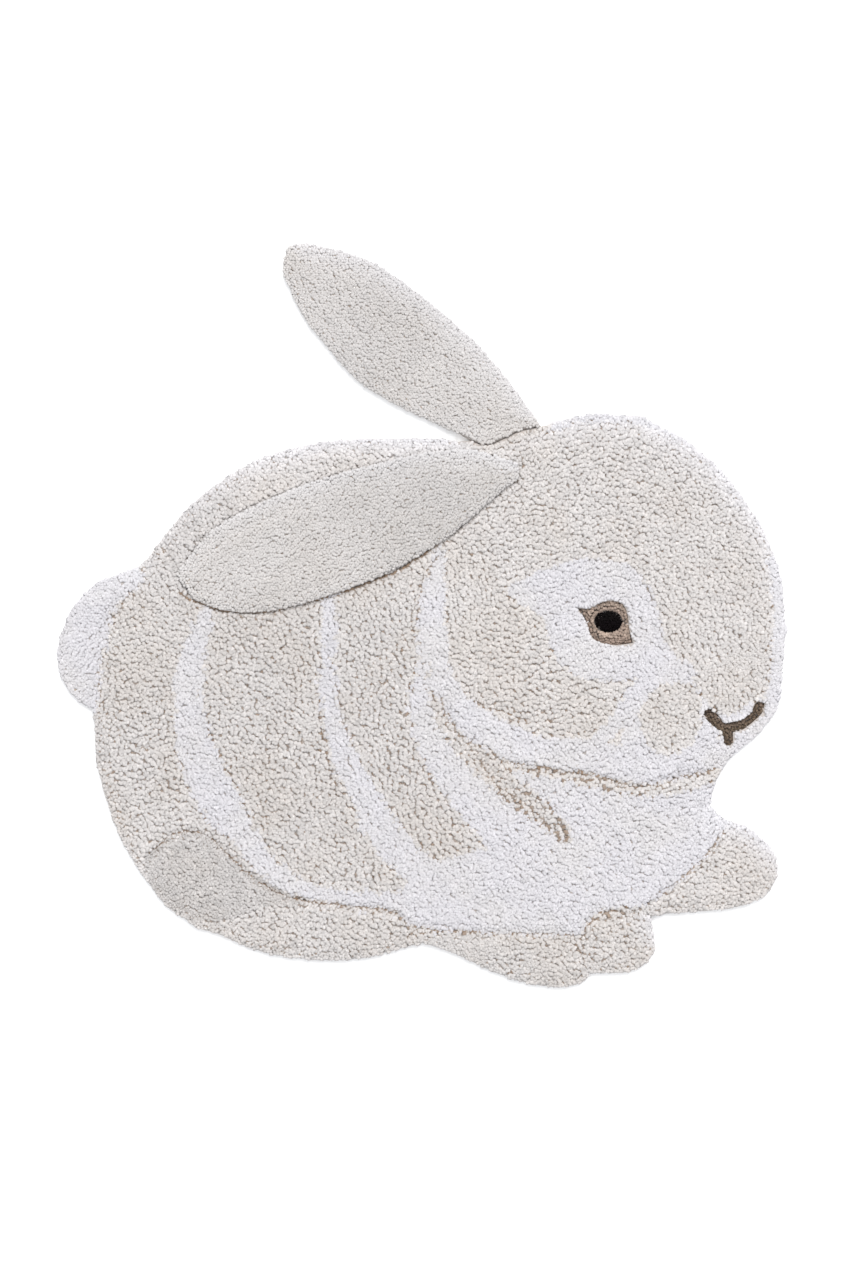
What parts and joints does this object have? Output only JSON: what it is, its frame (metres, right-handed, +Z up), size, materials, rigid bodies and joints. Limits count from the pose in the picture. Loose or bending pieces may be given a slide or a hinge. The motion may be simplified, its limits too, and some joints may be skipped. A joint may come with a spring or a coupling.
{
  "type": "rabbit shaped kids rug",
  "caption": "Flat cut-pile floor rug in the shape of a crouching rabbit, with one ear sewn to the head's edge and one ear flap lying over the back.",
  "frame": {"origin": "middle of the rug's box in plan, on the floor under it", "axes": "+Z up out of the pile, +X the way the rabbit looks, +Y towards its back and ears"},
  "size_m": [1.0975, 1.1168, 0.0266],
  "materials": {
    "beige_pile": "matte cut pile, thick yarn",
    "ear_pile": "matte cut pile, fine and dense",
    "brown_pile": "matte cut pile",
    "black_pile": "matte cut pile",
    "dark_brown_pile": "matte cut pile",
    "white_pile": "matte cut pile, thick yarn",
    "backing_cloth": "plain woven cotton"
  },
  "bodies": {
    "root": {"rug_body": "beige_pile", "far_ear": "ear_pile", "near_ear": "ear_pile", "eye_iris": "brown_pile", "eye_pupil": "black_pile", "mouth": "dark_brown_pile"}
  },
  "joints": []
}
